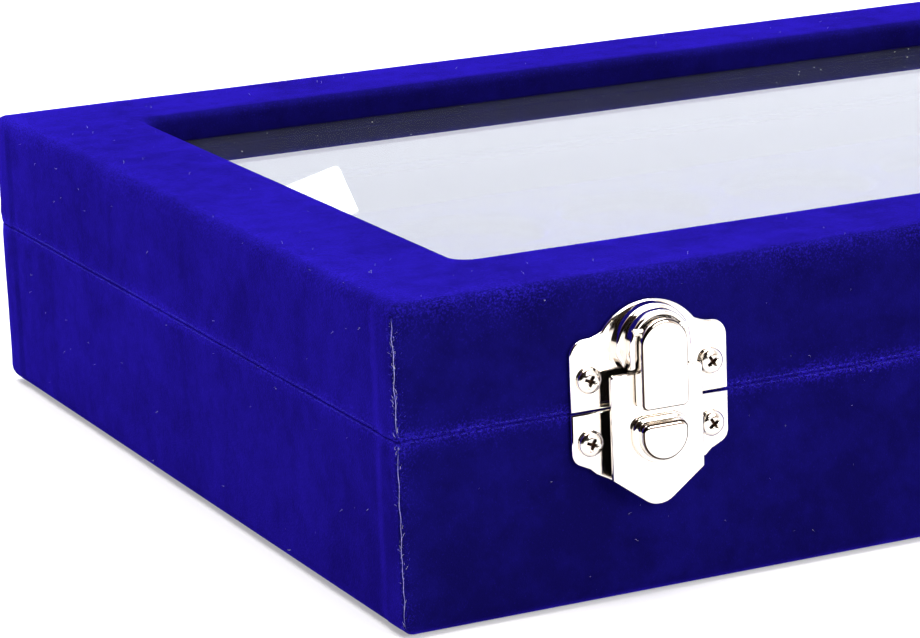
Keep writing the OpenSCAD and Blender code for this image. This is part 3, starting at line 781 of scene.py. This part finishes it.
def soft_block(name, boxes, edge, material):
    """Blocks given as pairs of corners in millimetres, in one mesh, with every edge rounded."""
    work = bmesh.new()
    for low, high in boxes:
        made = bmesh.ops.create_cube(work, size=1)["verts"]
        for vertex in made:
            vertex.co = Vector([(low[i] + high[i]) / 2 + vertex.co[i] * (high[i] - low[i]) for i in range(3)]) * MM
    bmesh.ops.bevel(work, geom=work.edges[:], offset=edge * MM, segments=3, profile=0.5, affect="EDGES")
    mesh = bpy.data.meshes.new(name)
    work.to_mesh(mesh)
    work.free()
    mesh.materials.append(material)
    made = bpy.data.objects.new(name, mesh)
    bpy.context.collection.objects.link(made)
    return tidy_mesh(made, 0.0001, lambda face: face.calc_area() > 2e-5)


foam_low, foam_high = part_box("insert_foam_core")
foam = soft_block("insert_foam_block", [(foam_low / MM, foam_high / MM)], 0.8, FOAM)
settle(foam, "base", "foam", "insert_foam_core")

bead_x, bead_y = CASE_W / 2 - WALL_IN, CASE_D / 2 - WALL_IN
bead_z = (BEAD_LOW, GLASS_LOW)
bead_boxes = [((-bead_x, s * (bead_y - 2.5) - 2.5, bead_z[0]), (bead_x, s * (bead_y - 2.5) + 2.5, bead_z[1]))
              for s in (-1, 1)]
bead_boxes += [((s * (bead_x - 2.5) - 2.5, -bead_y + 5.1, bead_z[0]), (s * (bead_x - 2.5) + 2.5, bead_y - 5.1, bead_z[1]))
               for s in (-1, 1)]
beads = soft_block("glass_bead_wraps", bead_boxes, 0.6, LINING)
settle(beads, "lid", "lining", "glass_beads")

# %% [markdown]
# The latches and hinges are thin pressed plates with rolled edges. Each copies its outline from the frame,
# merges the loose triangles, and gets a narrow round edge, which is what makes pressed metal sparkle. Normals
# weighted by face size keep the flat faces flat.
# %% Pressed metal


def pressed(node, edge, material, name=None):
    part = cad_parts[node]
    work = bmesh.new()
    work.from_mesh(part.data)
    work.transform(part.matrix_world)
    bmesh.ops.remove_doubles(work, verts=work.verts, dist=0.003 * MM)
    bmesh.ops.dissolve_degenerate(work, edges=work.edges, dist=1e-7)
    bmesh.ops.dissolve_limit(work, angle_limit=math.radians(0.4), verts=work.verts, edges=work.edges)
    mesh = bpy.data.meshes.new(name or f"{node}_pressed")
    for face in work.faces:
        face.smooth = True
    work.to_mesh(mesh)
    work.free()
    mesh.materials.clear()
    mesh.materials.append(material)
    made = bpy.data.objects.new(mesh.name, mesh)
    bpy.context.collection.objects.link(made)
    bevel = made.modifiers.new("edge", "BEVEL")
    bevel.width = edge * MM
    bevel.segments = 3
    bevel.angle_limit = math.radians(32)
    bevel.use_clamp_overlap = False
    bevel.miter_outer = "MITER_ARC"
    weighted = made.modifiers.new("normals", "WEIGHTED_NORMAL")
    weighted.weight = 80
    return finished(made)


for side in ("left", "right"):
    for node, body, edge in ((f"lever_pin_{side}", "lid", 0.1), (f"hinge_base_leaf_{side}", "base", 0.12),
                             (f"hinge_lid_leaf_{side}", "lid", 0.12), (f"hinge_pin_{side}", "base", 0.12)):
        settle(pressed(node, edge, NICKEL), body, "nickel", node)

pane = pressed("glass_pane", 0.25, GLASS, "glass_pane_arrised")
settle(pane, "lid", "glass", "glass_pane")

# %% [markdown]
# The moving lever, the button it snaps over, and the lower plate are built from stacked outlines: each
# level is the same outline drawn in or out a little, at its own stand-off from the front face, so every
# edge comes out rolled, as stamping leaves it. The lever is hollow at the back. The strap of the lower
# plate stands off the front, and the lever hangs in front of it.
# %% Lever, button and lower plate
LATCH_X, PLATE_T = 63.4, 0.8


def on_front(name, x, levels, material, caps=(True, True)):
    """Joins levels of (outline, stand-off) into a closed solid in front of the case, at x from its middle."""
    count = len(levels[0][0])
    points = [(x + p.x, -CASE_D / 2 - stand, PARTING + p.y) for outline, stand in levels for p in outline]
    faces = skin_faces(len(levels), count, False)
    faces += [tuple(range(count)), tuple(range(len(points) - count, len(points)))]
    made = as_object(name, points, faces, material)
    return tidy_mesh(made, 0.0005)


def arch_outline(inset, half_w=3.5, mid_v=8.75, bottom_v=0.1, corner=0.9):
    """Round-topped outline with small bottom corners, drawn in by inset."""
    w, low, r = half_w - inset, bottom_v + inset, max(0.05, corner - inset)
    out = arc(-w + r, low + r, r, 180, 270, 6) + arc(w - r, low + r, r, 270, 360, 6)
    return out + arc(0, mid_v, w, 0, 180, 32)


def button_outline(inset, half_w=3.5, top_v=-1.75, mid_v=-3.6, corner=1.3):
    """Half-round outline with a flat top and rounded top corners, drawn in by inset."""
    w, top, r = half_w - inset, top_v - inset, max(0.05, corner - inset)
    out = arc(0, mid_v, w, 180, 360, 28) + arc(w - r, top - r, r, 0, 90, 7)
    return out + arc(-w + r, top - r, r, 90, 180, 7)


def tip_curve(half_w, shoulder_v, tip_v, radius):
    """Straight slopes from both shoulders to a round tip, from the left shoulder to the right one."""
    centre = Vector((0, tip_v + radius))
    to_right = Vector((half_w, shoulder_v)) - centre
    touch = math.degrees(math.atan2(to_right.y, to_right.x) - math.acos(radius / to_right.length))
    return [Vector((-half_w, shoulder_v))] + arc(0, centre.y, radius, -180 - touch, touch, 18) + \
        [Vector((half_w, shoulder_v))]


def strap_outline(inset, half_w=6.85, top_v=4.9, shoulder_v=-9.4, tip_v=-13.6, corner=0.5):
    w, top, r = half_w - inset, top_v - inset, max(0.05, corner - inset)
    tip = tip_curve(w, shoulder_v + inset * 0.6, tip_v + inset, 3.5 - inset)
    return tip + arc(w - r, top - r, r, 0, 90, 4) + arc(-w + r, top - r, r, 90, 180, 4)


def plate_outline(inset, half_w=11.75, top_v=-0.15, ear_v=-7.4):
    """Lower plate: straight top, two round ears, and slopes down to a tip that is hidden behind the strap."""
    w, top, r = half_w - inset, top_v - inset, max(0.05, 1.9 - inset)
    low = ear_v + inset
    tip = tip_curve(8.3 - inset, -8.7 + 0.8 * inset, -12.7 + inset, 3.0 - inset)
    right = [Vector((9.2 - inset, -7.9 + 0.8 * inset))]
    left = [Vector((-v.x, v.y)) for v in reversed(right)]
    ears = arc(w - r, low + r, r, 290, 360, 7) + [Vector((w, top))] + [Vector((-w, top))]
    return tip + right + ears + arc(-w + r, low + r, r, 180, 250, 7) + left


def dome_outline(inset, half_w=11.75, bottom_v=0.15, ear_v=9.9, dome_top=14.0, dome_r=8.7):
    """Upper plate: two round ears and a domed middle."""
    w, low, r = half_w - inset, bottom_v + inset, max(0.05, 2.3 - inset)
    top = ear_v - inset
    right = [Vector((w, low))] + arc(w - r, top - r, r, 0, 82, 7)
    foot = [Vector((8.6, top + 0.06)), Vector((7.75, top + 0.32))]
    dome = arc(0, dome_top - dome_r, dome_r - inset, 37, 143, 24)
    left = [Vector((-v.x, v.y)) for v in reversed(right + foot)]
    return right + foot + dome + left


def hood_outline(inset, half_w=4.5, mid_v=8.7, bottom_v=5.6):
    w = half_w - inset
    return [Vector((w, bottom_v + inset))] + arc(0, mid_v, w, 0, 180, 30) + [Vector((-w, bottom_v + inset))]


def ring_outline(inset, half_w=5.6, mid_v=8.1, bottom_v=5.6):
    w, low = half_w - inset, bottom_v + inset
    return [Vector((w - 0.9, low)), Vector((w, low + 1.9))] + arc(0, mid_v, w, 0, 180, 30) + \
        [Vector((-w, low + 1.9)), Vector((-w + 0.9, low))]


def mark_painted_dark(piece, in_painted_dark):
    """Stores where the nickel gets a painted dark colour, from a point in millimetres: painted reflections round the
    faces of the lever and button, and painted shade in the screw recesses.
    """
    crease = piece.data.attributes.new("crease", "FLOAT", "POINT")
    for vertex in piece.data.vertices:
        crease.data[vertex.index].value = 1.0 if in_painted_dark(vertex.co / MM) else 0.0
    return piece


def rim_between(low, high):
    """True for points whose stand-off from the front face is between low and high."""
    return lambda p: low < -p.y - CASE_D / 2 < high


def lever(side, x):
    shell = [(arch_outline(0.85), 4.6), (arch_outline(0.8), 4.45), (arch_outline(0.75), 3.3), (arch_outline(0.6), 3.18),
             (arch_outline(0.2), 3.18), (arch_outline(0.04), 3.28), (arch_outline(0.0), 3.45), (arch_outline(0.0), 4.8),
             (arch_outline(0.03), 5.04), (arch_outline(0.1), 5.2), (arch_outline(0.2), 5.3), (arch_outline(0.32), 5.36),
             (arch_outline(0.55), 5.4), (arch_outline(1.0), 5.42)]
    # A painted dark reflection runs round the lever's face.
    return mark_painted_dark(on_front(f"latch_lever_{side}_shell", x, shell, NICKEL), rim_between(5.15, 5.33))


def button(side, x):
    levels = [(button_outline(-0.5), 2.92), (button_outline(-0.6), 3.0), (button_outline(-0.62), 3.4),
              (button_outline(-0.55), 3.6), (button_outline(-0.38), 3.72), (button_outline(-0.08), 3.76),
              (button_outline(0.0), 3.85), (button_outline(0.02), 4.45), (button_outline(0.07), 4.7),
              (button_outline(0.16), 4.83), (button_outline(0.28), 4.93), (button_outline(0.45), 5.0),
              (button_outline(0.8), 5.05)]
    # A painted dark reflection runs round the button's face.
    return mark_painted_dark(on_front(f"keeper_button_{side}", x, levels, NICKEL), rim_between(4.75, 4.95))


def plate_levels(outline, low, high):
    return [(outline(0.1), low), (outline(0.0), low + 0.12), (outline(0.0), high - 0.24), (outline(0.07), high - 0.08),
            (outline(0.22), high)]


def joined(target, operation, others):
    """Joins solids to a target, or cuts them from it, and removes them."""
    for other in others:
        join = target.modifiers.new("join", "BOOLEAN")
        join.object = other
        join.operation = operation
        join.solver = "EXACT"
    finished(target)
    for other in others:
        bpy.data.objects.remove(other)
    return target


def keeper(side, x):
    """The plate and the strap in front of it, folded together at the tip."""
    plate = on_front(f"latch_keeper_{side}_formed", x, plate_levels(plate_outline, 0.0, PLATE_T), NICKEL)
    strap = on_front("strap", x, plate_levels(strap_outline, 2.2, 2.9), NICKEL)
    block = [Vector(c) for c in ((-2.4, -12.0), (2.4, -12.0), (2.4, -9.5), (-2.4, -9.5))]
    fold = on_front("fold", x, [(block, 0.4), (block, 2.5)], NICKEL)
    joined(plate, "UNION", [strap, fold])
    return tidy_mesh(plate, 0.0005, lambda face: abs(face.normal.y) > 0.9999)


def pocket(x):
    return on_front("pocket", x, [(hood_outline(0.75, bottom_v=3.6), 0.95), (hood_outline(0.7, bottom_v=3.6), 3.9),
                                  (hood_outline(0.45, bottom_v=3.6), 4.5)], NICKEL)


def lid_plate(side, x):
    """The plate with its two-stepped hood, hollowed out for the root of the lever."""
    plate = on_front(f"latch_lid_plate_{side}_formed", x, plate_levels(dome_outline, 0.0, PLATE_T), NICKEL)
    ring = on_front("ring", x, [(ring_outline(-0.12), 0.6), (ring_outline(-0.1), 0.82), (ring_outline(0), 1.0),
                                (ring_outline(0), 2.05), (ring_outline(0.1), 2.28), (ring_outline(0.32), 2.4)], NICKEL)
    hood = on_front("hood", x, [(hood_outline(-0.1), 2.2), (hood_outline(0), 2.5), (hood_outline(0), 3.85),
                                (hood_outline(0.1), 4.1), (hood_outline(0.3), 4.2)], NICKEL)
    work = bmesh.new()
    work.from_mesh(plate.data)
    for step in (ring, hood):
        joined(step, "DIFFERENCE", [pocket(x)])
        work.from_mesh(step.data)
        bpy.data.objects.remove(step)
    work.to_mesh(plate.data)
    work.free()
    return tidy_mesh(plate, 0.0005, lambda face: abs(face.normal.y) > 0.9999)


for side, x in (("left", -LATCH_X), ("right", LATCH_X)):
    settle(lever(side, x), f"lever_{side}", "nickel", f"latch_lever_{side}")
    settle(button(side, x), "base", "nickel", f"keeper_boss_{side}")
    settle(keeper(side, x), "base", "nickel", f"latch_keeper_{side}")
    settle(lid_plate(side, x), "lid", "nickel", f"latch_lid_plate_{side}")

# %% [markdown]
# Every screw is the same small pan head with a cross recess, turned to a different angle, as hand-driven
# screws are. The head is a turned profile and the recess is cut out of it with two tapered blades.
# %% Screws
SCREW_X, SCREW_V = 9.1, 4.3
HINGE_X, HINGE_SCREW_X, HINGE_SCREW_V = 62.0, 6.0, 5.8


def turned(name, profile, steps, material):
    """A closed solid of revolution about z from (radius, height) points that start and end on the axis."""
    points = [(0, 0, profile[0][1])]
    for radius, z in profile[1:-1]:
        points += [(radius * math.cos(2 * math.pi * k / steps), radius * math.sin(2 * math.pi * k / steps), z)
                   for k in range(steps)]
    points.append((0, 0, profile[-1][1]))
    end = len(points) - 1
    faces = [(0, 1 + (k + 1) % steps, 1 + k) for k in range(steps)]
    for ring in range(len(profile) - 3):
        a = 1 + ring * steps
        faces += [(a + k, a + (k + 1) % steps, a + steps + (k + 1) % steps, a + steps + k) for k in range(steps)]
    a = end - steps
    faces += [(end, a + k, a + (k + 1) % steps) for k in range(steps)]
    return tidy_mesh(as_object(name, points, faces, material), 0.0001)


def cross_blades(length, width, low, high):
    work = bmesh.new()
    for angle in (0, 90):
        blade = bmesh.ops.create_cube(work, size=1)["verts"]
        for vertex in blade:
            taper = 0.55 if vertex.co.z < 0 else 1.0
            vertex.co = Vector((vertex.co.x * length * taper, vertex.co.y * width * taper,
                                low if vertex.co.z < 0 else high)) * MM
        bmesh.ops.rotate(work, verts=blade, cent=(0, 0, 0), matrix=Matrix.Rotation(math.radians(angle), 3, "Z"))
    mesh = bpy.data.meshes.new("cross_blades")
    work.to_mesh(mesh)
    work.free()
    made = bpy.data.objects.new("cross_blades", mesh)
    bpy.context.collection.objects.link(made)
    return made


def screw(name, head_r, head_h, length):
    profile = [(0, -length), (0.45, -length), (0.8, -length + 0.9), (0.8, 0), (head_r - 0.1, 0), (head_r, 0.1),
               (head_r, head_h * 0.35), (head_r - 0.12, head_h * 0.6), (head_r * 0.78, head_h * 0.84),
               (head_r * 0.45, head_h * 0.97), (0, head_h)]
    made = turned(name, profile, 32, SCREW_NICKEL)
    blades = cross_blades(head_r * 1.25, 0.5, head_h * 0.35, head_h * 1.3)
    cut = made.modifiers.new("recess", "BOOLEAN")
    cut.object = blades
    cut.operation = "DIFFERENCE"
    cut.solver = "EXACT"
    cut.use_self = True
    finished(made)
    bpy.data.objects.remove(blades)
    tidy_mesh(made, 0.0001, lambda face: face.calc_area() > 4e-8 and face.normal.z < 0.2)
    # The cross recess gets painted shade.
    recess = Vector((head_r * 0.66, head_h * 0.2, head_h * 0.6))
    return mark_painted_dark(made, lambda p: p.xy.length < recess.x and recess.y < p.z < recess.z)


def place_screws(name, body, node, prototype, spots, side):
    places = []
    for i, (x, v) in enumerate(spots):
        y = side * (CASE_D / 2 + PLATE_T)
        places.append(((x, y, PARTING + v), (90 if side < 0 else -90, (37 * i + 20) % 90, 0), 1))
    made = run_tree(carrier(name, places), PLACE, Part=prototype, Finish=SCREW_NICKEL)
    return settle(made, body, "screw", node)


latch_screw = screw("latch_screw", 1.8, 0.9, 5)
hinge_screw = screw("hinge_screw", 1.5, 0.6, 4)
for body, sign in (("base", -1), ("lid", 1)):
    latch_spots = [(s * LATCH_X + t * SCREW_X, sign * SCREW_V) for s in (-1, 1) for t in (-1, 1)]
    hinge_spots = [(s * HINGE_X + t * HINGE_SCREW_X, sign * HINGE_SCREW_V) for s in (-1, 1) for t in (-1, 1)]
    place_screws(f"latch_{body}_cross_screws", body, f"latch_{body}_screws", latch_screw, latch_spots, -1)
    place_screws(f"hinge_{body}_cross_screws", body, f"hinge_{body}_screws", hinge_screw, hinge_spots, 1)
bpy.data.objects.remove(latch_screw)
bpy.data.objects.remove(hinge_screw)

# %% [markdown]
# Signs of use. Short fibres stand out of the cut ends of the velvet along the upright corners and the
# parting line, a few longer pale threads hang at the front left corner, lint lies on the nap, and a little
# dust lies on the glass. Lint and dust are scattered, and the frayed fibres are placed along their seams.
# %% Fibres, lint and dust
CHANCE = Random(7)


def fibre(name, length, radius, bend, material, steps=5):
    """A thin bent strand that stands on the origin and leans over as it rises."""
    points, faces = [], []
    for k in range(steps + 1):
        t = k / steps
        centre = Vector((bend * length * t * t, 0.12 * length * math.sin(3 * t), length * t))
        thin = radius * (1 - 0.6 * t)
        points += [centre + Vector((thin * math.cos(a), thin * math.sin(a), 0)) for a in (0, 2.094, 4.189)]
    for k in range(steps):
        a = 3 * k
        faces += [(a + j, a + (j + 1) % 3, a + 3 + (j + 1) % 3, a + 3 + j) for j in range(3)]
    faces += [(2, 1, 0), (3 * steps, 3 * steps + 1, 3 * steps + 2)]
    return tidy_mesh(as_object(name, points, faces, material), 0.00001)


def seam_places(z_low, z_high, count, reach, smallest, largest):
    """Points up the front left corner seam, each lying over to one side or the other."""
    places = []
    for _ in range(count):
        off = CHANCE.uniform(0.15, reach)
        side = CHANCE.random() < 0.5
        x = -CASE_W / 2 + (-0.02 if side else off)
        y = -CASE_D / 2 + (off if side else -0.02)
        turn = (CHANCE.uniform(5, 60), CHANCE.uniform(-60, -5), CHANCE.uniform(-180, 180))
        places.append(((x, y, CHANCE.uniform(z_low, z_high)), turn, CHANCE.uniform(smallest, largest)))
    return places


def raw_edge(name, wrapped, z_low, z_high, radius, material):
    """The cut edge of the cloth's backing, a thin pale line that wanders a little up the corner of a wrap."""
    skin = BVHTree.FromPolygons([v.co for v in wrapped.data.vertices], [f.vertices for f in wrapped.data.polygons])
    inwards = Vector((1, 1, 0)).normalized()
    points, steps = [], 160
    for k in range(steps + 1):
        z = z_low + (z_high - z_low) * k / steps
        wander = 0.16 * noise.noise(Vector((0, 3, z / 2.2)))
        start = Vector((-CASE_W / 2 - 3 + wander, -CASE_D / 2 - 3 - wander, z)) * MM
        centre = skin.ray_cast(start, inwards)[0] / MM
        ends = min(1, 8 * k / steps, 8 - 8 * k / steps)
        thick = max(0.004, radius * (1.0 + 0.5 * noise.noise(Vector((z / 0.9, 8, 1)))) * ends)
        points += [centre + thick * Vector((math.cos(a), math.sin(a), 0)) for a in (0, 1.57, 3.14, 4.71)]
    faces = [(4 * k + j, 4 * k + (j + 1) % 4, 4 * k + 4 + (j + 1) % 4, 4 * k + 4 + j)
             for k in range(steps) for j in range(4)]
    faces += [(3, 2, 1, 0), tuple(4 * steps + j for j in range(4))]
    return tidy_mesh(as_object(name, points, faces, material), 0.00001)


def groove_places(z, count):
    """Points along the rim at the parting line, on the front and left faces."""
    places = []
    for _ in range(count):
        if CHANCE.random() < 0.55:
            place = (CHANCE.uniform(-CASE_W / 2 + 1, CASE_W / 2 - 1), -CASE_D / 2 + 0.12, z)
            turn = (CHANCE.uniform(60, 110), CHANCE.uniform(-30, 30), CHANCE.uniform(-30, 30))
        else:
            place = (-CASE_W / 2 + 0.12, CHANCE.uniform(-CASE_D / 2 + 1, CASE_D / 2 - 1), z)
            turn = (CHANCE.uniform(-30, 30), CHANCE.uniform(-110, -60), CHANCE.uniform(-30, 30))
        places.append((place, turn, CHANCE.uniform(0.4, 1.0)))
    return places


long_thread = fibre("long_thread", 0.6, 0.02, 0.5, FIBRE, 5)
short_fibre = fibre("short_fibre", 0.4, 0.02, 0.3, NAP_FIBRE, 3)
for body, low, high, rim in (("base", 1.5, BASE_TOP - 0.4, BASE_TOP - 0.25),
                             ("lid", LID_BOTTOM + 0.4, CASE_H - 1.5, LID_BOTTOM + 0.25)):
    threads = carrier(f"{body}_frayed_threads", seam_places(low, high, 45, 0.5, 0.3, 1.2))
    settle(run_tree(threads, PLACE, Part=long_thread, Finish=FIBRE), body, "velvet")
    wrapped, thick = (lid_wrap, 0.055) if body == "lid" else (base_wrap, 0.045)
    edge = raw_edge(f"{body}_raw_edge", wrapped, low, high, thick, BACKING)
    settle(edge, body, "velvet")
    fuzz = seam_places(low, high, 400, 1.2, 0.5, 1.1) + groove_places(rim, 4000)
    settle(run_tree(carrier(f"{body}_edge_fuzz", fuzz), PLACE, Part=short_fibre, Finish=NAP_FIBRE), body, "velvet")
bpy.data.objects.remove(long_thread)
bpy.data.objects.remove(short_fibre)


def outer_copy(piece, name, is_outer):
    """A copy of a piece whose faces are marked where is_outer(centre, normal) holds, to scatter on."""
    mesh = piece.data.copy()
    marks = mesh.attributes.new("outer", "BOOLEAN", "FACE")
    for face in mesh.polygons:
        marks.data[face.index].value = is_outer(face.center / MM, face.normal)
    made = bpy.data.objects.new(name, mesh)
    bpy.context.collection.objects.link(made)
    return made


def on_outside(centre, normal):
    """True for the outer skin of the case: its sides above the lowest 1.5 mm, and its top."""
    sides = abs(centre.x) > CASE_W / 2 - 0.6 or abs(centre.y) > CASE_D / 2 - 0.6
    return (sides and centre.z > 1.5) or (centre.z > CASE_H - 0.6 and normal.z > 0.5)


speck = fibre("lint", 0.35, 0.02, 0.8, FIBRE, 3)
for body, piece in (("base", base_wrap), ("lid", lid_wrap)):
    lint = outer_copy(piece, f"{body}_lint", on_outside)
    run_tree(lint, SCATTER, Part=speck, Finish=FIBRE, Density=9000.0, Seed=11, Largest=1.1)
    settle(lint, body, "velvet")
bpy.data.objects.remove(speck)

grain = soft_block("dust_grain", [((-0.06, -0.05, 0.0), (0.06, 0.05, 0.05))], 0.015, DUST)
dust = outer_copy(pane, "glass_dust", lambda centre, normal: normal.z > 0.9)
run_tree(dust, SCATTER, Part=grain, Finish=DUST, Density=9000.0, Seed=5, Largest=1.3)
settle(dust, "lid", "glass")
bpy.data.objects.remove(grain)

# %% [markdown]
# The remaining solid parts keep their shape from the frame and get a finish each.
# %% Finishes for the frame's own parts
for name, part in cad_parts.items():
    finish = NICKEL
    if "wall" in name or "board" in name or "panel" in name:
        finish = FIBREBOARD
    elif "foam" in name:
        finish = FOAM
    elif "glass_pane" in name:
        finish = GLASS
    elif "lining" in name or "beads" in name or "sheet" in name or "velvet" in name:
        finish = LINING
    elif "screws" in name:
        finish = SCREW_NICKEL
    part.data.materials.clear()
    part.data.materials.append(finish)

# %% [markdown]
# The box of the whole model, leaving out the floor and the screen, is measured.
# %% Sizes and finish
bpy.context.scene.view_settings.view_transform = "Standard"
low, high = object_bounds()
